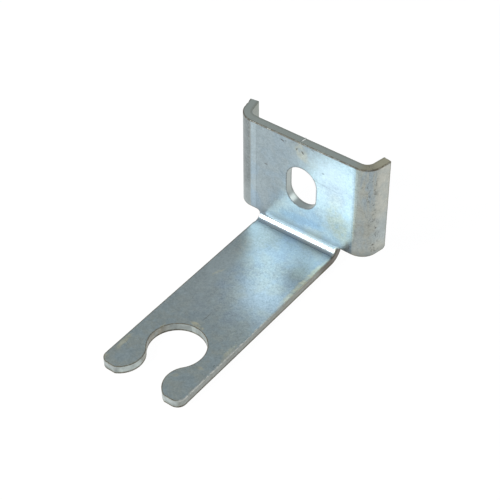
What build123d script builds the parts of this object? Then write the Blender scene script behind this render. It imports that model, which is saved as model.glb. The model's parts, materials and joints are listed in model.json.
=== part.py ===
from build123d import *
from math import cos, radians, sin, sqrt, tan
import os

# A stamped bracket, folded from one steel sheet. A flat arm ends in a fork. Its other end turns
# up into a plate with a slot, and the plate's two sides fold back as short flanges.
# Origin: centre of the fork's notch, on the underside of the arm. +Y runs from the fork towards
# the plate and +Z is up. Millimetres and degrees.
#
# "Front" is the side of the sheet that the punch entered from: the top of the arm, the plate's
# face towards the fork and the outside of the flanges. Its rim is slightly rounded.

# Sheet
sheet = 2.5                 # thickness of the steel
edge_roll = 0.3             # radius that shearing leaves round the rim of the front

# Arm and fork
arm_width = 25.0
notch_diameter = 15.0
mouth_width = 8.5           # narrowest gap between the tines
lobe_radius = 6.4           # swelling of each tine into the mouth
tip_corner_radius = 2.5     # outer corner of each tine
tip_flat = 2.3              # flat end of each tine, between that corner and the lobe

# Upright plate
plate_distance = 50.8       # notch centre to the plate's face
plate_height = 33.5         # underside of the arm to the plate's top edge
plate_flat = 32.5           # flat width between the two flange bends
plate_shift = 0.7           # plate and slot sit this far to +X of the arm's centre line
arm_bend_radius = 2.2       # inside
shoulder_fillet = 1.0       # from the plate's lower edge into the side of the arm

# Flanges
flange_bend_radius = 2.4    # inside
flange_angle = 78.0
flange_leg = 3.6            # straight part past the bend
flange_corner_radius = 1.0  # lower free corner

# Slot in the plate
slot_width = 9.3
slot_straight = 3.6         # between the centres of the slot's two round ends
slot_height = 18.9          # underside of the arm to the slot's centre

plate_back = plate_distance + sheet
shoulder_height = sheet + arm_bend_radius  # the plate's lower edge, where the arm's bend ends
outer_bend_radius = flange_bend_radius + sheet

# Each lobe touches the notch on the line that joins their centres. The tine ends where its flat
# meets the lobe.
notch_radius = notch_diameter / 2
lobe_x = mouth_width / 2 + lobe_radius
lobe_y = -sqrt((notch_radius + lobe_radius) ** 2 - lobe_x**2)
flat_inner_x = arm_width / 2 - tip_corner_radius - tip_flat
tip_y = lobe_y - sqrt(lobe_radius**2 - (lobe_x - flat_inner_x) ** 2)

beyond = 10.0               # how far a cutting tool runs past the metal
near = 1e-4                 # two places closer than this are one place


def folded_section(*corners, bend_radius):
    """Section of bent sheet. The corners and the radius are those of its outer side."""
    outer_side = FilletPolyline(*corners, radius=bend_radius)
    return Face(outer_side.offset_2d(sheet, side=Side.RIGHT, closed=True))


def bent_strip(width):
    """Strip that runs along the arm, turns up and rises to the plate's top edge."""
    section = folded_section(
        (0, tip_y, 0),
        (0, plate_back, 0),
        (0, plate_back, plate_height),
        bend_radius=arm_bend_radius + sheet,
    )
    return extrude(section, amount=width / 2, dir=(1, 0, 0), both=True)


def folded_plate():
    """The plate above its shoulders, with both sides folded back as flanges."""
    turn = radians(flange_angle)
    set_back = outer_bend_radius * tan(turn / 2)
    corner_x = plate_flat / 2 + set_back
    end_x = corner_x + (set_back + flange_leg) * cos(turn)
    end_y = plate_distance + (set_back + flange_leg) * sin(turn)
    section = folded_section(
        (plate_shift + end_x, end_y, shoulder_height),
        (plate_shift + corner_x, plate_distance, shoulder_height),
        (plate_shift - corner_x, plate_distance, shoulder_height),
        (plate_shift - end_x, end_y, shoulder_height),
        bend_radius=outer_bend_radius,
    )
    return extrude(section, amount=plate_height - shoulder_height, dir=(0, 0, 1))


def shoulder_webs():
    """The concave rounding from the plate's lower edge into each side of the arm's bend."""
    reach_x = arm_width / 2 + shoulder_fillet
    low_z = shoulder_height - shoulder_fillet
    band = Pos(0, plate_distance, low_z) * Box(
        2 * reach_x, 2 * beyond, shoulder_fillet, align=(Align.CENTER, Align.CENTER, Align.MIN)
    )
    webs = bent_strip(2 * reach_x) & band
    for side in (-1, 1):
        cutter = Rot(90, 0, 0) * Cylinder(shoulder_fillet, 2 * beyond + sheet)
        webs -= Pos(side * reach_x, plate_distance, low_z) * cutter
    return webs


def fork_gap():
    """The space inside the fork: the notch, and the mouth between two round lobes."""
    tangent_y = lobe_y * notch_radius / (notch_radius + lobe_radius)
    mouth_length = tangent_y - tip_y + beyond
    mouth = Pos(0, tangent_y) * Rectangle(2 * lobe_x, mouth_length, align=(Align.CENTER, Align.MAX))
    lobes = [Pos(side * lobe_x, lobe_y) * Circle(lobe_radius) for side in (-1, 1)]
    return extrude(Circle(notch_radius) + (mouth - lobes), amount=sheet + beyond, both=True)


def slot():
    behind = Plane(
        (plate_shift, plate_back + beyond, slot_height), x_dir=(0, 0, 1), z_dir=(0, -1, 0)
    )
    outline = behind * SlotCenterToCenter(slot_straight, slot_width)
    return extrude(outline, amount=sheet + 2 * beyond)


def tip_corners(shape):
    """The upright outer corner of each tine."""
    ends = shape.edges().filter_by(Axis.Z).group_by(Axis.Y)[0].sort_by(Axis.X)
    return [ends[0], ends[-1]]


def flange_corners(shape):
    """The lower corner of each flange's free end."""
    free_ends = shape.faces().filter_by(GeomType.PLANE).sort_by(Axis.Y)[-2:]
    return [face.edges().sort_by(Axis.Z)[0] for face in free_ends]


def is_front(face):
    """True for the sheet's front, flat or bent."""
    middle = face.center()
    normal = face.normal_at()
    if face.geom_type == GeomType.CYLINDER:
        if abs(face.axis_of_rotation.direction.X) > 1 - near:
            return abs(face.radius - arm_bend_radius) < near
        return middle.Y > plate_distance and abs(face.radius - outer_bend_radius) < near
    if normal.Z > 1 - near:
        return abs(middle.Z - sheet) < near
    if normal.Y < near - 1:
        return abs(middle.Y - plate_distance) < near
    return abs(normal.Z) < near and normal.Y < -near


def front_rim(shape):
    """The edges that bound the front: those that only one front face owns."""
    owners = {}
    for face in filter(is_front, shape.faces()):
        for edge in face.edges():
            middle = edge.center()
            place = tuple(round(value, 3) for value in (middle.X, middle.Y, middle.Z, edge.length))
            owners.setdefault(place, []).append(edge)
    return [edges[0] for edges in owners.values() if len(edges) == 1]


body = bent_strip(arm_width) + folded_plate() + shoulder_webs() - fork_gap() - slot()
body = body.clean()
body = fillet(tip_corners(body), tip_corner_radius)
body = fillet(flange_corners(body), flange_corner_radius)
body = fillet(front_rim(body), edge_roll)

os.makedirs("parts", exist_ok=True)
export_step(body, "parts/bracket.step")
print(f"bracket: {body.volume:.0f} mm3, {len(body.solids())} solid, {len(body.faces())} faces")
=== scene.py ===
# %% [markdown]
# # A folded steel bracket, zinc plated
#
# The bracket is one piece of 2.5 mm sheet. A press shears a flat blank out of the sheet, a second
# tool turns its wide end up into a plate and the plate's two sides back into flanges, and a
# plating line covers all of it with zinc and a thin, bluish clear film.
#
# The script follows the same steps. It draws the blank, gives it a sheared edge, folds it with
# Geometry Nodes, and then finishes the surface. Each point remembers its place on the flat blank,
# so the finish runs round the bends without a stretch.

import json

import bmesh
import bpy
import numpy as np
from math import cos, degrees, pi, radians, sin, sqrt
from mathutils import Matrix, Vector, noise
from mathutils.geometry import delaunay_2d_cdt
from mathutils.kdtree import KDTree


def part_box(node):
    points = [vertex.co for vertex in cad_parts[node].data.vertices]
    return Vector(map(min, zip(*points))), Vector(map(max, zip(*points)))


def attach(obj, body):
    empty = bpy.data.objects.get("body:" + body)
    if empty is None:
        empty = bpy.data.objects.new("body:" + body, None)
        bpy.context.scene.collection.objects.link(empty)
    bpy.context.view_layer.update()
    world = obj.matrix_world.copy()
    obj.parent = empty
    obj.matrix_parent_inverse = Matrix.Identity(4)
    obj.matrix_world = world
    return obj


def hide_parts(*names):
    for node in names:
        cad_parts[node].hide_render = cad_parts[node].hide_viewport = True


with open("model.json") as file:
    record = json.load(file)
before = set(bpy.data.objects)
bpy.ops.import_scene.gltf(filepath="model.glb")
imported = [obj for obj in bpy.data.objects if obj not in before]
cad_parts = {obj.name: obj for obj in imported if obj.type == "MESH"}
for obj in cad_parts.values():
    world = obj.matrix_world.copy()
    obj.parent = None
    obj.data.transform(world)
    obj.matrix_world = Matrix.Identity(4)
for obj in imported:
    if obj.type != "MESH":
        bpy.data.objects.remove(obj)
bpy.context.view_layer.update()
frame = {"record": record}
mount = {m["name"]: m for m in frame["record"]["mounts"]}
low, high = (corner * 1000 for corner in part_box("bracket"))
print("CAD model in mm, from", [round(c, 2) for c in low], "to", [round(c, 2) for c in high])

# %% [markdown]
# ## Sizes
#
# The packed model gives the sizes of everything that another part has to fit: the notch, the slot,
# the height and the place of the plate. The rest are the blank's own sizes, in millimetres.

# %% Sizes in millimetres
sheet = 2.5
notch_radius = mount["fork"]["dims"]["r_mm"]
mouth_half_width = 4.25
lobe_radius = 6.4
arm_half_width = 12.5
tip_corner_radius = 2.5
tip_y = low.y

arm_bend_radius = 2.2       # inside, on the front of the sheet
plate_y = mount["plate_back"]["pos_m"][1] * 1000 - sheet
plate_top = high.z
shoulder_z = sheet + arm_bend_radius
shoulder_fillet = 1.0

slot_x, _, slot_z = (c * 1000 for c in mount["slot"]["pos_m"])
slot_half_width = mount["slot"]["dims"]["hole_r_mm"]
slot_half_length = mount["slot"]["dims"]["slot_length_mm"] / 2

plate_half_flat = 16.25
flange_bend_radius = 4.9    # outside, on the front of the sheet
flange_angle = radians(78)
flange_leg = 3.6
flange_corner_radius = 1.0
print("plate's front at y", round(plate_y, 2), "and slot at", round(slot_x, 2), round(slot_z, 2))

# %% [markdown]
# ## From the folded part back to the flat blank
#
# Sheet that is folded keeps the length of one of its layers. Here the front layer is kept: the
# side that is the top of the arm and the front of the plate. On the blank, u runs across and v
# runs along, and both equal x and y on the flat arm. Past a bend, v is a length along the front.

# %% Where the folds lie on the blank
arm_bend_v = plate_y - arm_bend_radius
shoulder_v = arm_bend_v + arm_bend_radius * pi / 2
top_v = shoulder_v + plate_top - shoulder_z
right_bend_u = slot_x + plate_half_flat
left_bend_u = slot_x - plate_half_flat
flange_length = flange_bend_radius * flange_angle + flange_leg
right_end_u = right_bend_u + flange_length
left_end_u = left_bend_u - flange_length


def plate_v(z):
    """The blank's v for a height on the plate."""
    return shoulder_v + z - shoulder_z


print("blank", round(right_end_u - left_end_u, 2), "mm wide and", round(top_v - tip_y, 2), "long")

# %% [markdown]
# ## The outline of the blank
#
# The outline is made of straight runs and arcs, as on a drawing. Each run is cut into short equal
# steps, so that the edge can later be rough on the scale of a grain of sand. The fork is a round
# notch, and each of its lobes is an arc that touches the notch on the line between their centres.

# %% Straight runs and arcs
step = 0.3
top_step, nick_step = 0.2, 0.09     # along the plate's top edge, and close to its nick
nick_reach = 1.5                    # how far from its middle the top edge has the finer step


def run(start, end, spacing=step):
    """Points from start up to, but not including, end."""
    start, end = np.array(start, float), np.array(end, float)
    count = max(2, round(np.linalg.norm(end - start) / spacing))
    return start + (end - start) * np.linspace(0, 1, count, endpoint=False)[:, None]


def arc(centre, radius, start, end):
    """Points on an arc from start up to, but not including, end. Angles are in degrees."""
    count = max(8, round(radius * radians(abs(end - start)) / step))
    turn = np.radians(np.linspace(start, end, count, endpoint=False))
    return np.array(centre) + radius * np.stack([np.cos(turn), np.sin(turn)], axis=1)


print("a quarter of the notch is", len(arc((0, 0), notch_radius, 0, 90)), "steps")

# %% Round the fork, up the side and round the slot
lobe_u = mouth_half_width + lobe_radius
lobe_v = -sqrt((notch_radius + lobe_radius) ** 2 - lobe_u**2)
touch = degrees(np.arctan2(lobe_v, lobe_u))
flat_turn = degrees(np.arccos((tip_y - lobe_v) / lobe_radius)) + 90
flat_inner_u = lobe_u + lobe_radius * cos(radians(flat_turn))


def side_of_arm(end_u):
    """From the flat end of the right tine up to the middle of the plate's top edge."""
    inner_v = tip_y + tip_corner_radius
    corner_u = arm_half_width - tip_corner_radius
    web_u, web_v = arm_half_width + shoulder_fillet, shoulder_v - shoulder_fillet
    low_corner = (end_u - flange_corner_radius, shoulder_v + flange_corner_radius)
    return [
        run((flat_inner_u, tip_y), (corner_u, tip_y)),
        arc((corner_u, inner_v), tip_corner_radius, -90, 0),
        run((arm_half_width, inner_v), (arm_half_width, web_v)),
        arc((web_u, web_v), shoulder_fillet, 180, 90),
        run((web_u, shoulder_v), (low_corner[0], shoulder_v)),
        arc(low_corner, flange_corner_radius, -90, 0),
        run((end_u, low_corner[1]), (end_u, top_v)),
        run((end_u, top_v), (nick_reach, top_v), top_step),
        run((nick_reach, top_v), (0, top_v), nick_step),
    ]


def fork_side():
    """From the notch's far wall round the right lobe to the flat end of the right tine."""
    return [
        arc((0, 0), notch_radius, 90, touch),
        arc((lobe_u, lobe_v), lobe_radius, 180 + touch, flat_turn),
    ]


def mirrored(pieces):
    """The same pieces on the other side, run backwards and still without their last point."""
    points = np.concatenate(pieces) * (-1, 1)
    return points[::-1]


right_half = np.concatenate(fork_side() + side_of_arm(right_end_u))
left_half = mirrored(fork_side() + side_of_arm(-left_end_u))
outline = np.concatenate([right_half, [[0, top_v]], left_half])[:-1]
half_straight = slot_half_length - slot_half_width
slot_low = (slot_x, plate_v(slot_z) - half_straight)
slot_high = (slot_x, plate_v(slot_z) + half_straight)
slot_right, slot_left = slot_x + slot_half_width, slot_x - slot_half_width
slot_outline = np.concatenate([
    arc(slot_high, slot_half_width, 180, 0),
    run((slot_right, slot_high[1]), (slot_right, slot_low[1])),
    arc(slot_low, slot_half_width, 0, -180),
    run((slot_left, slot_low[1]), (slot_left, slot_high[1])),
])
print(len(outline), "points round the blank and", len(slot_outline), "round the slot")

# %% [markdown]
# ## What shearing does to the edge
#
# A punch bends the rim of the front before it cuts, so the front ends in a small roll. Below that
# the wall is burnished for a little under half the sheet, and then the steel tears: the rest of
# the wall is duller and leans in a little. The roll is never quite even. It is fine round the fork,
# wider along the arm's right side, widest in the arm's bend, where the steel bulges, and ragged on
# the plate's top edge, which a worn blade cut. Two strokes of that blade met in the middle of the
# top edge and left a thin slanting ridge.
#
# The wall is a stack of rings that all follow the outline. Each ring has an inset, how far it lies
# inside the outline, and a depth below the front.

# %% Which way is out of the metal
mitre_steps = 6             # how many points a sharp corner leans over on each side


def wander(points, size, seed):
    """Smooth noise between about -1 and 1 at each point, with bumps of the given size."""
    return np.array([noise.noise(Vector((u / size, v / size, seed))) for u, v in points[:, :2]])


def right_of(direction):
    """Unit vectors to the right of each direction."""
    normal = np.stack([direction[:, 1], -direction[:, 0]], axis=1)
    return normal / np.linalg.norm(normal, axis=1)[:, None]


def away_from_metal(loop):
    """At each point, the direction out of the metal, longer where a corner needs a mitre.

    Beside a sharp corner the direction leans over step by step, so inset points keep their order.
    """
    before = right_of(loop - np.roll(loop, 1, axis=0))
    after = right_of(np.roll(loop, -1, axis=0) - loop)
    middle = before + after
    middle /= np.linalg.norm(middle, axis=1)[:, None]
    square = np.sum(middle * before, axis=1)
    away = middle / square[:, None]
    for corner in np.flatnonzero(square < cos(radians(8))):
        for k in range(1, mitre_steps):
            lean = 1 - k / mitre_steps
            away[(corner + k) % len(loop)] += lean * (away[corner] - after[corner])
            away[corner - k] += lean * (away[corner] - before[corner])
    return away


longest = np.linalg.norm(away_from_metal(outline), axis=1).max()
print("the longest mitre is", round(longest, 2), "times the inset")

# %% Ring by ring from the front to the back
fine_roll, side_roll, bend_roll, top_roll = 0.06, 0.18, 0.3, 0.5
least_roll, most_roll = 0.04, 0.6
front_margin = 0.75         # where the rings end and the flat faces begin
burnish_share = 0.45
tear_lean = 0.05
back_break = 0.1
ridge_height = 0.22         # the ridge that two strokes left on the top edge
ridge_half_width = 0.17


def near_band(values, start, end, blur):
    """1 between start and end, falling to 0 over the blur on both sides."""
    return np.clip(1 + np.minimum(values - start, end - values) / blur, 0, 1)


def edge_rings(loop):
    """The rings' insets and depths: two arrays with a row for each ring."""
    u, v = loop.T
    in_bend = near_band(v, arm_bend_v, shoulder_v - shoulder_fillet, 0.8)
    at_top = near_band(v, top_v - 0.01, top_v + 1, 0.01)
    at_side = near_band(u, arm_half_width - 0.1, arm_half_width + 0.1, 0.3) * (v < shoulder_v)
    roll = fine_roll * (1 + 0.4 * wander(loop, 1.7, 3.1))
    roll += (side_roll - fine_roll) * at_side * (1 + 0.9 * wander(loop, 0.8, 9.2))
    roll += bend_roll * in_bend
    roll += at_top * top_roll * np.clip(wander(loop, 0.8, 7.7), 0, None)
    roll = np.clip(roll, least_roll, most_roll)
    chip_depth = roll * (1 + 2 * at_top)
    tear = sheet * (burnish_share + 0.06 * wander(loop, 2.6, 5.3))
    even = np.ones(len(loop))
    rings = [(inset * even, 0 * even) for inset in (front_margin, front_margin - 0.1, roll + 0.05)]
    for turn in np.linspace(0, pi / 2, 6):
        rings.append((roll * (1 - sin(turn)), chip_depth * (1 - cos(turn))))
    for share in (0.4, 0.8, 1.0):
        drag = 0.008 * wander(loop, 0.9, 11 + share)
        rings.append((drag, chip_depth + (tear - chip_depth) * share))
    for share in (0.12, 0.35, 0.6, 0.85):
        torn = tear_lean * share**0.5 + 0.02 * wander(loop, 0.6, 20 + 3 * share)
        rings.append((np.clip(torn, 0, None), tear + (sheet - back_break - tear) * share))
    rings.append((tear_lean * even, (sheet - back_break) * even))
    for inset in (tear_lean + back_break, 0.3, front_margin):
        rings.append((inset * even, sheet * even))
    insets, depths = np.array(rings).transpose(1, 0, 2)
    ridge_u = 0.12 * depths - 0.1
    ridge = at_top * np.exp(-(((u - ridge_u) / ridge_half_width) ** 2))
    on_wall = near_band(insets, -1, 0.12, 0.02) * near_band(depths, 0.25, sheet, 0.1)
    return insets - ridge_height * ridge * on_wall, depths


def ring_points(loop):
    """Every ring's points as u, v and height over the arm's underside, and every point's inset."""
    insets, depths = edge_rings(loop)
    flat = loop[None] - insets[:, :, None] * away_from_metal(loop)[None]
    points = np.concatenate([flat, (sheet - depths)[:, :, None]], axis=2)
    return points, insets


outer_rings, outer_insets = ring_points(outline)
slot_rings, slot_insets = ring_points(slot_outline)
print(len(outer_rings), "rings of", len(outline), "and", len(slot_outline), "points")

# %% [markdown]
# ## The flat faces
#
# A net of square cells covers each flat face. Its lines are closer together where the sheet will
# be bent, and lines run exactly where each bend starts and ends, so the bends come out round and
# the flats stay flat. Cells that come near the edge are left out, and a narrow seam of triangles
# joins the net to the rings.

# %% The net of square cells
net_step = 0.42
bend_step = 0.2
sharp_step = 0.12           # the arm's bend is the tightest, and it mirrors the lamp


def net_lines(stops, steps):
    """Grid lines through all the stops, with the given spacing between each two."""
    lines = [np.linspace(a, b, max(2, round((b - a) / s)), endpoint=False)
             for a, b, s in zip(stops, stops[1:], steps)]
    return np.concatenate(lines + [[stops[-1]]])


bend_arc = flange_bend_radius * flange_angle
u_stops = (left_end_u, left_bend_u - bend_arc, left_bend_u, right_bend_u, right_bend_u + bend_arc,
           right_end_u)
u_lines = net_lines(u_stops, (net_step, bend_step, net_step, bend_step, net_step))
v_lines = net_lines((tip_y, arm_bend_v, shoulder_v, top_v), (net_step, sharp_step, net_step))

rim = np.concatenate([outline, slot_outline])
rim_away = np.concatenate([away_from_metal(outline), away_from_metal(slot_outline)])
rim_tree = KDTree(len(rim))
for index, (u, v) in enumerate(rim):
    rim_tree.insert((u, v, 0), index)
rim_tree.balance()


def distance_inside(u, v):
    """How far a place on the blank lies inside the outline. It is negative outside."""
    _, index, distance = rim_tree.find((u, v, 0))
    outwards = (u - rim[index, 0]) * rim_away[index, 0] + (v - rim[index, 1]) * rim_away[index, 1]
    return -distance if outwards > 0 else distance


depth_in = np.array([[distance_inside(u, v) for v in v_lines] for u in u_lines])
roomy = depth_in > front_margin + 0.25
cells = roomy[:-1, :-1] & roomy[1:, :-1] & roomy[:-1, 1:] & roomy[1:, 1:]
print(int(cells.sum()), "square cells on each face")

# %% Where the net ends
used = np.zeros_like(roomy)
for du in (0, 1):
    for dv in (0, 1):
        used[du:len(u_lines) - 1 + du, dv:len(v_lines) - 1 + dv] |= cells
net_index = np.full(used.shape, -1)
net_index[used] = np.arange(used.sum())
net_uv = np.array([(u_lines[i], v_lines[j]) for i, j in np.argwhere(used)])
net_inset = depth_in[used]

net_quads = [
    [net_index[i, j], net_index[i + 1, j], net_index[i + 1, j + 1], net_index[i, j + 1]]
    for i, j in np.argwhere(cells)
]
edge_count = {}
for quad in net_quads:
    for a, b in zip(quad, quad[1:] + quad[:1]):
        key = (min(a, b), max(a, b))
        edge_count[key] = edge_count.get(key, 0) + 1
net_border = [edge for edge, count in edge_count.items() if count == 1]
border_nodes = sorted({node for edge in net_border for node in edge})
border_place = {node: place for place, node in enumerate(border_nodes)}
print(len(net_uv), "corners in the net,", len(border_nodes), "of them on its border")

# %% The seam between the net and the rings
first_slot, first_net = len(outline), len(rim)
seam_points = np.concatenate([outer_rings[0, :, :2], slot_rings[0, :, :2], net_uv[border_nodes]])
seam_edges = [(i, (i + 1) % first_slot) for i in range(first_slot)]
seam_edges += [
    (first_slot + i, first_slot + (i + 1) % len(slot_outline)) for i in range(len(slot_outline))
]
seam_edges += [(first_net + border_place[a], first_net + border_place[b]) for a, b in net_border]
ring_faces = [list(range(first_slot)), list(range(first_slot, first_net))]
new_points, _, triangles, sources, _, owners = delaunay_2d_cdt(
    [Vector(p) for p in seam_points], seam_edges, ring_faces, 1, 1e-7
)


def in_seam(triangle, owner):
    """True for a triangle in the metal and off the net.

    The slot's ring runs the other way round, so what it owns is everything outside the slot.
    """
    u, v = np.mean([new_points[corner] for corner in triangle], axis=0)
    i, j = np.searchsorted(u_lines, u) - 1, np.searchsorted(v_lines, v) - 1
    return len(owner) == 2 and not cells[min(i, len(cells) - 1), min(j, len(cells[0]) - 1)]


seam = [[sources[c][0] for c in t] for t, owner in zip(triangles, owners) if in_seam(t, owner)]
print(len(seam), "triangles in the seam;", len(new_points) - len(seam_points), "points added")

# %% [markdown]
# ## One closed skin
#
# Rings, nets and seams share their points, so the blank is a closed skin with no doubles. Two
# numbers go with each point: its inset from the outline, and its height on the blank, which gives
# its depth below the front. The finish uses them to tell flat, roll, wall and back from each other.

# %% Make the blank's mesh
def loop_quads(rings, count, first):
    """Quads between neighbouring rings. The first ring's first point has the index given."""
    return [
        [first + r * count + i, first + r * count + (i + 1) % count,
         first + (r + 1) * count + (i + 1) % count, first + (r + 1) * count + i]
        for r in range(rings - 1) for i in range(count)
    ]


ring_total = len(outer_rings)
slot_first = ring_total * len(outline)
front_first = slot_first + ring_total * len(slot_outline)
back_first = front_first + len(net_uv)


def seam_corner(index, ring, net_first):
    """A seam corner's index in the whole mesh, on the front or the back."""
    if index < first_slot:
        return ring * len(outline) + index
    if index < first_net:
        return slot_first + ring * len(slot_outline) + index - first_slot
    return net_first + border_nodes[index - first_net]


points = np.concatenate([
    outer_rings.reshape(-1, 3),
    slot_rings.reshape(-1, 3),
    np.column_stack([net_uv, np.full(len(net_uv), sheet)]),
    np.column_stack([net_uv, np.zeros(len(net_uv))]),
])
inset = np.concatenate([outer_insets.ravel(), slot_insets.ravel(), net_inset, net_inset])
faces = loop_quads(ring_total, len(outline), 0)
faces += loop_quads(ring_total, len(slot_outline), slot_first)
for ring, net_first in ((0, front_first), (ring_total - 1, back_first)):
    faces += [[seam_corner(i, ring, net_first) for i in t] for t in seam]
    faces += [[net_first + i for i in quad] for quad in net_quads]

blank_mesh = bpy.data.meshes.new("blank")
blank_mesh.from_pydata(points.tolist(), [], [[int(i) for i in face] for face in faces])
shell = bmesh.new()
shell.from_mesh(blank_mesh)
bmesh.ops.recalc_face_normals(shell, faces=shell.faces)
open_edges = sum(1 for edge in shell.edges if not edge.is_manifold)
shell.to_mesh(blank_mesh)
print("blank:", len(shell.faces), "faces,", open_edges, "open edges,",
      round(shell.calc_volume(signed=True)), "mm3")
shell.free()
blank_mesh.attributes.new("inset", "FLOAT", "POINT").data.foreach_set(
    "value", inset.astype(np.float32)
)
blank_mesh.shade_smooth()

# %% [markdown]
# ## Sums with sockets
#
# The fold and the finish are node trees with a good deal of arithmetic. A small class wraps a
# node's output, and a sum written with it adds the Math nodes by itself. Every other kind of node
# comes from the same one method.

# %% A class for node arithmetic
class Wire:
    """The output of a node. Arithmetic with wires and numbers adds Math nodes to their tree."""

    def __init__(self, socket):
        self.socket = socket

    @staticmethod
    def add(tree, kind, settings=None, inputs=None, output=0):
        """Adds a node, sets it up, fills its inputs by name or place and returns one output."""
        node = tree.nodes.new(kind)
        for name, value in (settings or {}).items():
            if name == "stops":
                ramp = node.color_ramp.elements
                while len(ramp) < len(value):
                    ramp.new(0.5)
                for element, (position, colour) in zip(ramp, value):
                    element.position, element.color = position, colour
            else:
                setattr(node, name, value)
        for name, value in (inputs or {}).items():
            if isinstance(value, Wire):
                tree.links.new(value.socket, node.inputs[name])
            else:
                node.inputs[name].default_value = value
        return Wire(node.outputs[output])

    @staticmethod
    def sum(operation, first, second=0.0):
        """A Math node. At least one of its two values is a wire."""
        tree = next(v for v in (first, second) if isinstance(v, Wire)).socket.id_data
        return Wire.add(tree, "ShaderNodeMath", {"operation": operation}, {0: first, 1: second})

    def __add__(self, other):
        return Wire.sum("ADD", self, other)

    def __radd__(self, other):
        return Wire.sum("ADD", other, self)

    def __sub__(self, other):
        return Wire.sum("SUBTRACT", self, other)

    def __rsub__(self, other):
        return Wire.sum("SUBTRACT", other, self)

    def __mul__(self, other):
        return Wire.sum("MULTIPLY", self, other)

    def __rmul__(self, other):
        return Wire.sum("MULTIPLY", other, self)

    def __truediv__(self, other):
        return Wire.sum("DIVIDE", self, other)

    def __rtruediv__(self, other):
        return Wire.sum("DIVIDE", other, self)

    def at_least(self, other):
        return Wire.sum("MAXIMUM", self, other)

    def at_most(self, other):
        return Wire.sum("MINIMUM", self, other)

    def rise(self, start, end):
        """0 below start, 1 above end and a smooth step between. It falls where start > end."""
        settings = {"interpolation_type": "SMOOTHSTEP"}
        inputs = {"Value": self, "From Min": start, "From Max": end}
        return Wire.add(self.socket.id_data, "ShaderNodeMapRange", settings, inputs)


print("Wire has", sum(callable(item) for item in vars(Wire).values()), "methods")

# %% [markdown]
# ## The fold
#
# A bend rolls the sheet round a line. Before the line nothing moves, past it each point turns about
# the bend's centre until the angle is reached, and from there the sheet runs straight on. One rule
# does all three bends: both flanges turn down, away from the front, and the plate turns up.
#
# In Geometry Nodes the blank stays flat and editable, and another bracket of this family is a
# change of a few named inputs. Before the folds, a slow noise leaves the sheet a few hundredths of
# a millimetre out of flat, as steel from a coil is.

# %% The rule for one bend
def bend(along, height, start, radius, angle, thickness, side):
    """Places after a bend. Side is 1 where the front is inside the bend and -1 where outside."""
    past = (along - start).at_least(0)
    turn = (past / radius).at_most(angle)
    straight = past - turn * radius
    reach = radius + (thickness - height) * side
    sine, cosine = Wire.sum("SINE", turn), Wire.sum("COSINE", turn)
    new_along = along.at_most(start) + reach * sine + straight * cosine
    new_height = thickness + (radius - reach * cosine + straight * sine) * side
    return new_along, new_height


print("the front is", round(bend_arc, 2), "mm round a flange's bend and",
      round(shoulder_v - arm_bend_v, 2), "mm round the arm's")

# %% The folding tree's inputs
fold = bpy.data.node_groups.new("fold_bracket", "GeometryNodeTree")
fold.is_modifier = True
fold_sizes = {
    "Sheet thickness": sheet,
    "Flange bend radius": flange_bend_radius,
    "Flange angle": flange_angle,
    "Right bend line": right_bend_u,
    "Left bend line": left_bend_u,
    "Arm bend radius": arm_bend_radius,
    "Arm angle": radians(90),
    "Arm bend line": arm_bend_v,
    "Waviness": 0.05,
    "Waves per mm": 0.06,
}
sockets = [("Blank", "INPUT", "Geometry")]
sockets += [(name, "INPUT", "Float") for name in fold_sizes]
sockets += [("Finish", "INPUT", "Material"), ("Bracket", "OUTPUT", "Geometry")]
for name, side, kind in sockets:
    fold.interface.new_socket(name, in_out=side, socket_type="NodeSocket" + kind)

entry = fold.nodes.new("NodeGroupInput")
given = {socket.name: Wire(socket) for socket in entry.outputs if socket.name}
print("inputs:", ", ".join(given))

# %% The folding tree
position = Wire.add(fold, "GeometryNodeInputPosition")
kept = Wire.add(
    fold, "GeometryNodeStoreNamedAttribute", {"data_type": "FLOAT_VECTOR", "domain": "POINT"},
    {"Geometry": given["Blank"], "Name": "blank", "Value": position},
)
parts = fold.nodes.new("ShaderNodeSeparateXYZ")
fold.links.new(position.socket, parts.inputs[0])
across, along, height = (Wire(socket) for socket in parts.outputs)

flat_place = Wire.add(fold, "ShaderNodeCombineXYZ", None, {"X": across, "Y": along})
waves = Wire.add(
    fold, "ShaderNodeTexNoise", None,
    {"Vector": flat_place, "Scale": given["Waves per mm"], "Detail": 1.0},
)
height = height + (waves - 0.5) * given["Waviness"]

thickness = given["Sheet thickness"]
flange_rule = (given["Flange bend radius"], given["Flange angle"], thickness, -1)
# The left flange is bent in a mirror, and the minus sign in metres turns across back again.
to_right, right_height = bend(across, height, given["Right bend line"], *flange_rule)
across, height = bend(to_right * -1, right_height, given["Left bend line"] * -1, *flange_rule)
along, height = bend(
    along, height, given["Arm bend line"], given["Arm bend radius"], given["Arm angle"],
    thickness, 1,
)
metres = {"X": across * -0.001, "Y": along * 0.001, "Z": height * 0.001}
folded_place = Wire.add(fold, "ShaderNodeCombineXYZ", None, metres)
folded = Wire.add(
    fold, "GeometryNodeSetPosition", None, {"Geometry": kept, "Position": folded_place}
)
whole = Wire.add(fold, "GeometryNodeRealizeInstances", None, {"Geometry": folded})
finished = Wire.add(
    fold, "GeometryNodeSetMaterial", None, {"Geometry": whole, "Material": given["Finish"]}
)
leave = fold.nodes.new("NodeGroupOutput")
fold.links.new(finished.socket, leave.inputs[0])
print("folding tree:", len(fold.nodes), "nodes")

# %% [markdown]
# ## Fold the blank
#
# The tree's inputs are set before the object is first evaluated. The result is taken as a plain
# mesh at its real place, and the object that carried the modifier is removed.

# %% Fold it and keep a plain mesh
def new_object(name, data):
    """An object at the origin, in the scene."""
    made = bpy.data.objects.new(name, data)
    bpy.context.scene.collection.objects.link(made)
    return made


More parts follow.
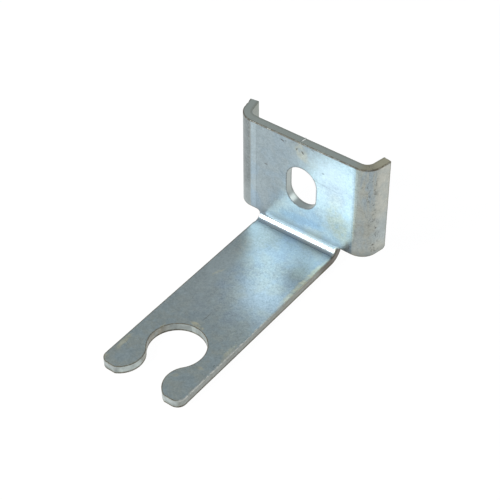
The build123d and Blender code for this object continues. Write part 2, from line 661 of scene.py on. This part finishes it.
finish = bpy.data.materials.new("zinc_plate")
press = new_object("blank", blank_mesh)
modifier = press.modifiers.new("fold", "NODES")
modifier.node_group = fold
for item in fold.interface.items_tree:
    if item.in_out == "INPUT" and item.name in fold_sizes:
        modifier[item.identifier] = float(fold_sizes[item.name])
    elif item.name == "Finish":
        modifier[item.identifier] = finish
seen = press.evaluated_get(bpy.context.evaluated_depsgraph_get())
bracket_mesh = bpy.data.meshes.new_from_object(
    seen, preserve_all_data_layers=True, depsgraph=bpy.context.evaluated_depsgraph_get()
)
bpy.data.objects.remove(press)
bracket_mesh.name = "folded_bracket"
bracket = new_object("folded_bracket", bracket_mesh)
print("bracket:", len(bracket_mesh.polygons), "faces, size in mm",
      [round(side * 1000, 2) for side in bracket.dimensions])

# %% [markdown]
# ## The finish
#
# Bright zinc is a metal, so nearly all of its look is reflection. Four things make it read as zinc
# and not as chrome: it is satin, its fine crystals give it a grain, the clear film over it is
# a little blue with warm stains where it dried thick, and handling leaves pits and scratches.
#
# Every pattern reads the place on the flat blank, so sizes and places are written in millimetres,
# as on the blank's drawing.

# %% Read a point's place on the blank
finish.use_nodes = True
tree = finish.node_tree
tree.nodes.clear()


def node(kind, settings=None, inputs=None, output=0):
    return Wire.add(tree, kind, settings, inputs, output)


blank_place = node("ShaderNodeAttribute", {"attribute_name": "blank"}, output="Vector")
inset_mm = node("ShaderNodeAttribute", {"attribute_name": "inset"}, output="Fac")
axes = tree.nodes.new("ShaderNodeSeparateXYZ")
tree.links.new(blank_place.socket, axes.inputs[0])
u_mm, v_mm, height_mm = (Wire(socket) for socket in axes.outputs)
depth_mm = sheet - height_mm
print("the finish can read", [name for name in bracket_mesh.attributes.keys() if name[0] != "."])


# %% Noise and colours
def cloudy(size, detail=2.0, rough=0.5, shift=0.0, along=1.0, output=0):
    """Noise from 0 to 1 with lumps of the given size in mm, stretched along v by a factor."""
    place = node("ShaderNodeMapping", None, {
        "Vector": blank_place, "Location": (shift, shift, shift),
        "Scale": (1 / size, 1 / size / along, 1 / size),
    })
    inputs = {"Vector": place, "Scale": 1.0, "Detail": detail, "Roughness": rough}
    return node("ShaderNodeTexNoise", None, inputs, output)


def blend(amount, first, second, kind="MIX"):
    """A colour between two colours."""
    settings = {"data_type": "RGBA", "blend_type": kind}
    return node("ShaderNodeMix", settings, {0: amount, 6: first, 7: second}, output=2)


def scaled(colour, factor):
    """A colour made lighter or darker by a number."""
    inputs = {0: colour, "Scale": factor}
    return node("ShaderNodeVectorMath", {"operation": "SCALE"}, inputs)


print("noise and colour helpers:", len(tree.nodes), "nodes so far")


# %% Spots and masks
def size_of(wire):
    """The size of a number, without its sign."""
    return Wire.sum("ABSOLUTE", wire)


ragged_reach = 1.8          # how far, in mm, the edge of a ragged spot wanders in and out
ragged_place = node("ShaderNodeVectorMath", {"operation": "MULTIPLY_ADD"}, {
    0: cloudy(1.1, 3, 0.6, shift=17, output=1), 1: (ragged_reach, ragged_reach, 0), 2: blank_place,
})


def spot(u, v, half_long, half_wide, turn=0, ragged=True, edge=(1.15, 0.55)):
    """1 inside an oval on the blank and 0 outside. Turn is in degrees from the u axis.

    A ragged spot is shifted back by the mean of the noise that makes it ragged.
    """
    shift = ragged_reach / 2 if ragged else 0.0
    offset = node("ShaderNodeMapping", {"vector_type": "TEXTURE"}, {
        "Vector": ragged_place if ragged else blank_place,
        "Location": (u + shift, v + shift, sheet),
        "Rotation": (0, 0, radians(turn)),
        "Scale": (half_long, half_wide, 0.6),
    })
    length = node("ShaderNodeVectorMath", {"operation": "LENGTH"}, {0: offset}, output=1)
    return length.rise(*edge)


def any_of(masks):
    """The strongest of several masks."""
    total = masks[0]
    for mask in masks[1:]:
        total = total.at_least(mask)
    return total


print("spots read a ragged copy of the place:", len(tree.nodes), "nodes so far")

# %% [markdown]
# ## Zones of the sheet
#
# Each zone is a number from 0 to 1: the front, the two strips that the folding dies rubbed, the
# crease between arm and plate, the back, the sheared wall, and the rim of the plate's top edge. The
# dies leave the crease smooth, and shade is painted on both sides of it. The numbers are places
# on the blank: the arm's bend runs from v = 48.6 to 52.1, and the top edge is at v = 80.9.

# %% Zones as masks
front = depth_mm.rise(0.4, 0.15)
rubbed = size_of(u_mm - slot_x).rise(plate_half_flat - 0.1, plate_half_flat + 0.15) * front
# The left flange's front: it picks the rubbed film's colour, and below it also gets painted shade.
left_rub_and_shade = u_mm.rise(left_bend_u + 0.15, left_bend_u - 0.45) * front
on_plate = v_mm.rise(50, 55)
in_crease = v_mm.rise(48.2, 49) * v_mm.rise(52.6, 51.8)
# Painted shade on both sides of the arm's crease: on the plate above it, and on the arm below it.
crease_shade_above = v_mm.rise(50.9, 51.6) * u_mm.rise(-16, -7)
crease_shade_above = crease_shade_above * (v_mm.rise(67, 54) * 0.24 + v_mm.rise(54.5, 52) * 0.30)
crease_shade_below = v_mm.rise(41, 48.6) * v_mm.rise(49.8, 49.0) * (1 - u_mm.rise(5, 11) * 0.5)
arm_side = u_mm.rise(arm_half_width - 1.5, arm_half_width - 0.5) * v_mm.rise(52.8, 51.8)
on_back = depth_mm.rise(sheet - 0.2, sheet - 0.05)
wall = depth_mm.rise(0.06, 0.2) * depth_mm.rise(sheet - 0.05, sheet - 0.2)
wall = wall * inset_mm.rise(0.4, 0.2)
top_rim = v_mm.rise(top_v - 0.6, top_v - 0.4)
print("zones:", len(tree.nodes), "nodes so far")

# %% [markdown]
# ## Film, mottle and grain
#
# The clear film splits the light as oil on water does, so its colour tells how thick it dried. It
# is bluer on the plate, which hung higher in the bath, greyer towards the fork, and greenish where
# the dies rubbed it thin. The colours are the metal's own, and they are dark for a metal: most of
# the brightness comes from what the sheet reflects.
#
# Several sizes of noise sit on top: slow drifts, a mottle of 1.6 mm, a grain of half a millimetre
# and single dark flecks. The grain is zinc's crystals, and it is strongest in the middle of the
# arm. The second cell also paints light and shade: the list there holds places painted a little
# lighter or darker, shade is painted by the crease and on the left flange, and the flanges are
# painted lighter low down and the right one towards its end.

# %% The film's colours
fork_blue, fork_olive = (0.284, 0.338, 0.346, 1), (0.302, 0.337, 0.318, 1)
arm_blue, arm_grey = (0.28, 0.348, 0.402, 1), (0.306, 0.352, 0.356, 1)
plate_blue, plate_grey = (0.288, 0.385, 0.46, 1), (0.332, 0.402, 0.43, 1)
cold_rub, warm_rub = (0.32, 0.365, 0.37, 1), (0.35, 0.365, 0.33, 1)
deep_blue, warm_grey = (0.25, 0.36, 0.47, 1), (0.37, 0.35, 0.29, 1)
streak_blue, edge_straw = (0.265, 0.33, 0.37, 1), (0.385, 0.385, 0.34, 1)
arm_olive, dull_green = (0.305, 0.352, 0.325, 1), (0.24, 0.27, 0.24, 1)
grain = cloudy(0.45, 3, 0.75)
mottle = cloudy(1.6, 3, 0.6, shift=5)
drifts = cloudy(5, 3, 0.55, shift=21)
fleck = cloudy(0.6, 2, 0.8, shift=40).rise(0.64, 0.72)
crystal = cloudy(0.16, 2, 0.6, shift=4)

patchy = 0.2 + 0.8 * drifts.rise(0.38, 0.62)
patchy = patchy.at_least(v_mm.rise(58, 70) * 0.7).at_least(u_mm.rise(-3, -8) * v_mm.rise(50, 48))
patchy = patchy.at_least(spot(9.0, 38.5, 3.2, 3.4, 0, False, (1.4, 0.3)))
marble = cloudy(3.2, 4, 0.65, shift=13).rise(0.38, 0.62)
fork_film = blend(marble, fork_blue, fork_olive)
colour = blend(v_mm.rise(2, 28), fork_film, blend(patchy, arm_blue, arm_grey))
colour = blend(on_plate, colour, blend(patchy, plate_blue, plate_grey))
colour = blend(spot(1.5, 55.6, 8.5, 1.7, 4) * 0.8, colour, deep_blue)
colour = blend(rubbed, colour, blend(patchy * (1 - left_rub_and_shade), cold_rub, warm_rub))
olive_patch = spot(9.0, 40.0, 2.8, 4.2, 0, True, (1.4, 0.3))
colour = blend(olive_patch * 0.6, colour, arm_olive)
streaks = cloudy(0.9, 3, 0.6, shift=27, along=5).rise(0.45, 0.6) * front
streaks = streaks * size_of(u_mm - 20.4).rise(2.6, 1.4) * (0.35 + v_mm.rise(66, 73) * 0.65)
colour = blend(streaks * 0.7, colour, streak_blue)
warm_edge = u_mm.rise(22.0, 23.2) * v_mm.rise(60, 68) * mottle.rise(0.3, 0.6) * front
colour = blend(warm_edge * 0.7, colour, edge_straw)
warm_drift = spot(-9.0, 38.5, 2.2, 5.0, 10, True, (1.3, 0.3)) * mottle.rise(0.3, 0.6)
colour = blend(warm_drift * 0.35, colour, warm_grey)
colour = blend(u_mm.rise(-19.5, -21) * on_back, colour, dull_green)
print("film:", len(tree.nodes), "nodes so far")

# %% Brighter and darker places
smooth = (wall * 0.8 + v_mm.rise(47.4, 48.8) * v_mm.rise(54, 52.6) * 0.85).at_most(0.85)
sandy = spot(4.0, 27.0, 10.0, 13.0, 0, False, (1.3, 0.5))
speckle = (grain - 0.5) * (0.85 + sandy * 0.65) + (mottle - 0.5) * 0.35 - fleck * 0.2
# Painted shade: darker on both sides of the arm's crease and on the left flange's front.
shade = 1 + speckle * (1 - smooth) - crease_shade_above - crease_shade_below * 0.13 - left_rub_and_shade * 0.27
# Painted light: the right flange lighter towards its end, and both flanges lighter low down.
shade = shade + u_mm.rise(20.5, 25) * 0.22 + rubbed * v_mm.rise(63, 54) * 0.24
# Painted light and shade: each place below is painted lighter, and darker where the amount is
# negative.
uneven = [                  # u, v, half length, half width, how much lighter
    (5.5, 26.0, 8.0, 8.0, 0.26), (-6.2, 42.0, 5.5, 4.5, -0.17), (10.4, 45.3, 3.0, 3.0, 0.10),
    (6.0, 76.5, 8.0, 5.0, 0.18), (10.5, 69.0, 6.0, 5.0, -0.08), (9.0, 60.0, 7.5, 4.0, -0.14),
    (0.5, 57.4, 5.5, 3.0, -0.03), (-10.0, 57.5, 4.0, 4.5, 0.10), (-4.0, 20.0, 7.0, 9.0, 0.06),
    (-8.0, 30.0, 4.5, 7.0, 0.12), (8.6, 42.0, 2.6, 3.2, -0.08),
]
for u, v, half_long, half_wide, lighter in uneven:
    shade = shade + spot(u, v, half_long, half_wide, edge=(1.4, 0.2)) * lighter
print(len(uneven), "uneven places;", len(tree.nodes), "nodes so far")

# %% [markdown]
# ## Stains and marks
#
# Small brackets are tumbled in a basket by the hundred, and each knock leaves a trace. Straw stains
# sit where the rinse ran together: beside the arm's right edge, round the notch, along the left
# tine and in the plate's low corner. Pits are short ovals and scratches are long thin ones, each
# with its place and direction.
#
# The right flange was stretched on its outside, and there the coat has fine cracks along the bend.
# They are the lines along which a noise crosses its middle value: |noise - 0.5| is close to zero
# only on such a line, and a slower noise breaks the lines up.

# %% Stains
straw, pale_straw = (0.5, 0.475, 0.335, 1), (0.375, 0.38, 0.32, 1)
green_straw, plate_white = (0.33, 0.35, 0.285, 1), (0.33, 0.365, 0.405, 1)
stain_list = [              # u, v, half length, half width, turn, strength
    (12.3, 36.5, 1.3, 12.5, 0, 1.0), (-0.2, 8.3, 2.4, 0.8, -6, 1.0),
    (-11.4, -6.5, 0.8, 3.6, 0, 0.7), (-11.6, -13.0, 0.7, 1.0, 0, 0.7),
    (12.0, 3.5, 0.7, 1.6, 0, 0.7), (11.7, 6.0, 0.8, 3.2, 0, 0.6), (-8.0, 27.0, 0.5, 2.4, -20, 0.5),
    (9.0, -2.7, 1.2, 0.5, 20, 0.5), (5.8, -8.0, 1.2, 0.7, 40, 0.4), (-6.9, 2.4, 0.4, 2.4, 15, 0.6),
    (0.5, 78.0, 2.0, 3.2, 30, 0.5),
]


def marks(places, ragged=False):
    """One mask for a list of spots, each with its strength."""
    return any_of([spot(*place, ragged=ragged) * strength for *place, strength in places])


side_stain = arm_side * inset_mm.rise(0.9, 0.4) * v_mm.rise(22, 30) * 0.7
stains = marks(stain_list, ragged=True).at_least(side_stain)
colour = blend(stains * mottle.rise(0.25, 0.6) * 0.75, colour, straw)
bright_plate = spot(11.0, 72.0, 6.0, 8.0, edge=(1.4, 0.2))
colour = blend(bright_plate * 0.6, colour, plate_white)
high_stain = spot(12.0, 66.5, 2.6, 3.6, 20) * mottle.rise(0.2, 0.6)
colour = blend(high_stain * 0.35, colour, pale_straw)
low_corner = spot(12.3, 60.0, 3.4, 7.0, 25) * mottle.rise(0.2, 0.6)
colour = blend(low_corner * 0.65, colour, green_straw)
print(len(stain_list), "small stains;", len(tree.nodes), "nodes so far")

# %% Pits and scratches
pit_list = [                # u, v, half length, half width, turn, strength
    (-5.4, 79.1, 0.70, 0.30, -20, 1.0), (0.9, 78.0, 0.65, 0.26, -50, 1.0),
    (-4.4, 79.3, 0.30, 0.22, 30, 0.8), (3.9, 80.1, 0.60, 0.20, -10, 0.9),
    (-0.9, 78.4, 0.24, 0.6, -20, 0.8), (-10.5, 68.9, 0.6, 0.32, 0, 0.7),
    (7.3, 74.3, 0.35, 0.22, 0, 0.6), (23.2, 61.3, 0.34, 0.34, 0, 1.0),
    (22.6, 55.8, 0.36, 0.36, 0, 1.0), (18.9, 75.2, 0.6, 0.25, 50, 0.4),
]
scratch_list = [            # the same
    (-0.2, 12.2, 1.95, 0.09, 87, 1.0), (-3.4, 11.4, 1.2, 0.07, 70, 0.6),
    (6.0, 20.5, 1.6, 0.06, 40, 0.6), (8.5, 70.5, 4.5, 0.07, -4, 0.6),
    (11.5, 0.0, 0.35, 0.16, 80, 1.0), (9.0, -8.8, 0.8, 0.10, 30, 0.6),
    (-10.6, -6.4, 0.8, 0.10, -20, 0.6), (-4.1, 11.9, 0.9, 0.06, 100, 0.6),
    (3.2, 16.4, 1.6, 0.05, 120, 0.5),
]
pits, scratches = marks(pit_list), marks(scratch_list)
print(len(pit_list), "pits and", len(scratch_list), "scratches")

# %% Cracks, specks and rust
crack_line = u_mm + v_mm * 0.09 - 28.3
cracks = size_of(cloudy(1.5, 4, 0.7, shift=61, along=3.5) - 0.5).rise(0.020, 0.005)
cracks = cracks * size_of(crack_line).rise(2.3, 1.0)
cracks = cracks * cloudy(1.9, 2, 0.6, shift=33).rise(0.44, 0.54)
specks = cloudy(0.7, 3, 0.7, shift=80, along=1.6).rise(0.56, 0.68)
specks = specks * size_of(u_mm - 21.4).rise(2.4, 0.6) * v_mm.rise(60, 66)
rust = cloudy(0.5, 3, 0.7, shift=95, along=1.5).rise(0.56, 0.66)
rust = rust * size_of(u_mm + 15.9).rise(0.9, 0.3) * v_mm.rise(58, 62) * front
foot = spot(15.7, 54.2, 0.8, 1.7, 0, False, (1.3, 0.3))
print("marks:", len(tree.nodes), "nodes so far")

# %% [markdown]
# ## Walls, rims and die lines
#
# The sheared wall takes the zinc less well than the rolled faces. It is pale round the fork, with
# bands where the punch dragged, brown at the notch's left neck, and browner and darker along the
# arm's side. A thin dark line runs along both rims, because the coat is thinnest on a sharp edge
# and rusts there first. On the arm's side the wide roll has a painted, broken highlight instead.
# The folding die has left a fine line on each side of the plate. Painted light and shade come on
# top: a highlight beside the left bend, shade past the right die line, glints on the slot's and the
# notch's walls, and a highlight on one flank of the top edge's ridge and shade on the other.

# %% Sheared walls
warm_wall, pale_wall = (0.235, 0.235, 0.205, 1), (0.345, 0.385, 0.372, 1)
torn_brown, bend_brown = (0.16, 0.14, 0.11, 1), (0.1, 0.085, 0.065, 1)
burnish_white, neck_brown = (0.475, 0.515, 0.515, 1), (0.22, 0.185, 0.13, 1)
top_grey, top_olive = (0.345, 0.38, 0.348, 1), (0.34, 0.325, 0.24, 1)
warmth = 0.25 + v_mm.rise(5, 36) * 0.35 + mottle.rise(0.3, 0.7) * 0.3
side_wall = blend(warmth, pale_wall, warm_wall)
torn = cloudy(0.6, 3, 0.7, along=1.5).rise(0.45, 0.7)
side_wall = blend(torn * 0.5, side_wall, torn_brown)
side_wall = blend(v_mm.rise(41, 46) * 0.8, side_wall, bend_brown)
burnished = v_mm.rise(tip_y + 0.6, tip_y + 0.1) * depth_mm.rise(1.5, 1.0) * mottle.rise(0.2, 0.5)
end_wall = blend(u_mm.rise(15, 20), top_grey, top_olive)
wall_colour = blend(v_mm.rise(top_v - 0.4, top_v - 0.2), pale_wall, end_wall)
wall_colour = blend(arm_side, wall_colour, side_wall)
wall_colour = blend(burnished * 0.5, wall_colour, burnish_white)
left_neck = size_of(u_mm + 6).rise(2.6, 1.9) * v_mm.rise(-9.5, -7) * v_mm.rise(5.5, 2)
wall_colour = blend(left_neck * mottle.rise(0.2, 0.6) * 0.7, wall_colour, neck_brown)
colour = blend(wall, colour, wall_colour)
print("walls:", len(tree.nodes), "nodes so far")

# %% Rims
# Painted highlight: the arm side's wide roll is painted pale in broken patches.
rim_brown, roll_highlight_white = (0.128, 0.106, 0.07, 1), (0.45, 0.46, 0.43, 1)
roll_shine = arm_side * depth_mm.rise(0.4, 0.25) * inset_mm.rise(0.4, 0.3) * v_mm.rise(28, 14)
front_rim = depth_mm.rise(0.14 + top_rim * 0.3, 0.04) * inset_mm.rise(0.34 + top_rim * 0.3, 0.16)
front_rim = front_rim * (1 - arm_side * v_mm.rise(12, 20) * 0.75)
back_rim = depth_mm.rise(1.7, 2.15) * inset_mm.rise(0.4, 0.2)
broken = 0.6 + cloudy(0.5, 2, 0.7, shift=47).rise(0.35, 0.58) * 0.4
rim = front_rim * (1 - on_plate * (1 - top_rim) * 0.35) + back_rim * (1 - on_plate * 0.65)
rim = rim * (1 - roll_shine) * broken
colour = blend(rim * 0.9, colour, rim_brown)
shine_breaks = cloudy(0.7, 2, 0.6, shift=52, along=1.6).rise(0.44, 0.54)
colour = blend(roll_shine * shine_breaks, colour, roll_highlight_white)
print("rims:", len(tree.nodes), "nodes so far")

# %% Die lines, bands on the walls, and painted light and shade
left_die_u, right_die_u = -13.75, 16.2
# Painted highlight: a bright band on the plate beside the left bend.
left_bend_highlight = u_mm.rise(-15.45, -15.2) * u_mm.rise(left_die_u, left_die_u - 0.15) * on_plate * front
die_edge = size_of(u_mm - left_die_u).rise(0.14, 0.02)
die_edge = die_edge + size_of(u_mm - right_die_u).rise(0.14, 0.02)
# Painted light and shade: a glint on the slot's left wall, and on the notch's far wall a glint with
# the rest of that wall darker.
slot_glint = size_of(u_mm + 2.4).rise(1.1, 0.3) * v_mm.rise(64, 63) * wall * on_plate
notch_wall = v_mm.rise(2, 4) * v_mm.rise(9, 8) * wall
notch_glint = size_of(u_mm + 0.7).rise(0.8, 0.3)
notch_light = notch_glint * 0.3 - u_mm.rise(-0.9, -1.6) * 0.08 - 0.1
slot_wall = wall * size_of(u_mm - slot_x).rise(7, 6) * v_mm.rise(59, 60) * v_mm.rise(76, 75)
# Painted shade: a darker strip on the right flange's bend, past its die line.
right_die_shade = u_mm.rise(16.35, 16.65) * u_mm.rise(18.4, 17.2) * v_mm.rise(56, 60) * front
bands = (cloudy(1.5, 2, 0.5, shift=70) - 0.5) * wall * (1 - arm_side) * v_mm.rise(14, 10)
shade = shade + left_bend_highlight * 0.18 - die_edge * on_plate * front * 0.14 - right_die_shade * 0.24
shade = shade + slot_glint * 0.5 + slot_wall * 0.2 + notch_wall * notch_light + bands * 0.9
# Painted light and shade: the left tine's lower wall lighter near the mouth of the fork and a
# little darker further out.
left_tip = wall * v_mm.rise(-8, -9) * u_mm.rise(-4, -4.3)
shade = shade + left_tip * (u_mm.rise(-7.4, -6.2) * 0.30 - 0.08)
print("shade:", len(tree.nodes), "nodes so far")

# %% The ridge and the last sums of the colour
# Painted highlight and shade: a bright stroke on one flank of the top edge's ridge and a dark one
# on the other; the black also colours real pits, scratches and cracks.
ridge_highlight_white, rust_brown = (0.6, 0.61, 0.58, 1), (0.2, 0.12, 0.085, 1)
mark_and_shade_black = (0.1, 0.1, 0.09, 1)
top_wall = v_mm.rise(top_v - 0.15, top_v - 0.05) * depth_mm.rise(0.2, 0.5)
from_ridge = u_mm - depth_mm * 0.12 + 0.1
ridge_highlight = size_of(from_ridge - 0.17).rise(0.12, 0.03) * top_wall * depth_mm.rise(0.7, 0.9)
ridge_shade = size_of(from_ridge + 0.14).rise(0.2, 0.08) * top_wall
colour = blend(ridge_highlight, colour, ridge_highlight_white)
colour = scaled(colour, shade)
colour = blend(rust * 0.35, colour, rust_brown)
dark = any_of([pits * 0.75, scratches * 0.6, cracks * 0.85, specks * 0.5, foot * 0.45,
               ridge_shade * 0.75])
colour = blend(dark, colour, mark_and_shade_black)
print("colour:", len(tree.nodes), "nodes so far")

# %% [markdown]
# ## Put the finish together
#
# Zinc is a bare metal under the film, so Metallic is 1 and the colour tints what it reflects. A
# roughness of 0.3 to 0.4 gives the satin look: a lamp becomes a soft band, and the plate shows
# only as a blur in the arm. The crease is smoother, and the rims are nearly dull. A very low relief
# of two hundredths of a millimetre makes the grain sparkle a little, and the pits are pressed in.

# %% The shader
shader = tree.nodes.new("ShaderNodeBsdfPrincipled")
output = tree.nodes.new("ShaderNodeOutputMaterial")
tree.links.new(shader.outputs[0], output.inputs[0])
shader.inputs["Metallic"].default_value = 1.0
roughness = 0.35 - on_plate * 0.04 + rubbed * 0.06 + wall * 0.06 + v_mm.rise(38, 22) * 0.05
roughness = roughness + ((grain - 0.5) * 0.10 + (mottle - 0.5) * 0.06) * (1 - smooth)
roughness = roughness + rim * 0.35 - in_crease * 0.09
tree.links.new(colour.socket, shader.inputs["Base Color"])
tree.links.new(roughness.socket, shader.inputs["Roughness"])
relief_mm = (grain * 0.018 + crystal * 0.004) * (1 - smooth) - pits * 0.05 - scratches * 0.02
relief = node("ShaderNodeBump", None, {"Height": relief_mm, "Distance": 0.001, "Strength": 1.0})
tree.links.new(relief.socket, shader.inputs["Normal"])
print("finish:", len(tree.nodes), "nodes")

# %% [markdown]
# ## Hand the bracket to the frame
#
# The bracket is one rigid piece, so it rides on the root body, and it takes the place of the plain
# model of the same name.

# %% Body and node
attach(bracket, "root")
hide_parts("bracket")
print(bracket.name, "rides on root and replaces the plain bracket")

# %% [markdown]
# ## The camera
#
# A long lens from a good third of a metre keeps the edges of the small part nearly parallel, as in
# a catalogue. The camera looks down at 42 degrees from the right, so the arm, the front of the
# plate and the outside of the right flange all show. Its three directions make up its matrix.

# %% Place the camera
camera_data = bpy.data.cameras.new("camera")
camera_data.lens = 106.754
camera_data.sensor_width = 36
camera_data.clip_end = 20
camera = new_object("camera", camera_data)
bpy.context.scene.camera = camera
azimuth, elevation, roll = radians(37.117), radians(42.343), radians(-0.251)
back = Vector((sin(azimuth) * cos(elevation), -cos(azimuth) * cos(elevation), sin(elevation)))
right = Vector((cos(azimuth), sin(azimuth), 0))
up = back.cross(right)
right, up = right * cos(roll) + up * sin(roll), up * cos(roll) - right * sin(roll)
turn = Matrix((right, up, back)).transposed().to_4x4()
camera_place = Vector((0.16693, -0.19075, 0.26443))
camera.matrix_world = Matrix.Translation(camera_place) @ turn
print("camera is", round(camera_place.length * 1000), "mm from the notch's centre")

# %% [markdown]
# ## Floor and light
#
# What a metal looks like is mostly what stands round it. The floor is white paper that gives off
# its own light, so it shows no shadow, and the steep faces reflect it. The room is a soft grey,
# which the arm and the top edges reflect. One bright, low softbox stands at the front left. Its
# upper edge is at about 42 degrees, just where the arm and the plate send the view after two
# reflections: the bend shows the lamp as a narrow band, the metal below it stays dark, and both
# faces grow brighter away from the bend. A lamp higher up would move the band down the bend, and
# one overhead would leave the plate dull. A weak card behind lights the back.

# %% Floor and room
reach, floor_z = 3.0, -0.0001      # a tenth of a millimetre keeps floor and arm apart
floor_mesh = bpy.data.meshes.new("floor")
floor_mesh.from_pydata(
    [(x * reach, y * reach, floor_z) for x, y in ((-1, -1), (1, -1), (1, 1), (-1, 1))], [],
    [(0, 1, 2, 3)],
)
floor = new_object("floor", floor_mesh)
paper = bpy.data.materials.new("paper")
paper.use_nodes = True
paper_look = {
    "Base Color": (0.04, 0.04, 0.04, 1), "Roughness": 1.0, "Specular IOR Level": 0.0,
    "Emission Color": (1, 1, 1, 1), "Emission Strength": 0.97,
}
for name, value in paper_look.items():
    paper.node_tree.nodes["Principled BSDF"].inputs[name].default_value = value
floor_mesh.materials.append(paper)

world = bpy.data.worlds.new("studio")
bpy.context.scene.world = world
world.use_nodes = True
room = world.node_tree.nodes["Background"].inputs
room["Color"].default_value, room["Strength"].default_value = (0.64, 0.67, 0.7, 1), 1.0
print("floor of", 2 * reach, "m, and a grey room")

# %% The lamps
bracket_middle = Vector((0, 0.03, 0.01))


def softbox(name, azimuth, elevation, distance, width, height, radiance):
    """A white, rectangular soft light that faces the bracket."""
    turn, rise = radians(azimuth), radians(elevation)
    towards = Vector((sin(turn) * cos(rise), -cos(turn) * cos(rise), sin(rise)))
    lamp = bpy.data.lights.new(name, "AREA")
    lamp.shape = "RECTANGLE"
    lamp.size, lamp.size_y = width, height
    lamp.energy = radiance * pi * width * height
    holder = new_object(name, lamp)
    holder.matrix_world = (
        Matrix.Translation(towards * distance + bracket_middle)
        @ towards.to_track_quat("Z", "Y").to_matrix().to_4x4()
    )
    print(name, "gives", round(lamp.energy, 2), "W")


softbox("key", -31, 26.2, distance=0.45, width=0.23, height=0.26, radiance=17.8)
softbox("back_card", 133, 30, distance=0.8, width=0.5, height=0.35, radiance=1.2)
bpy.context.scene.view_settings.view_transform = "Standard"

# %% [markdown]
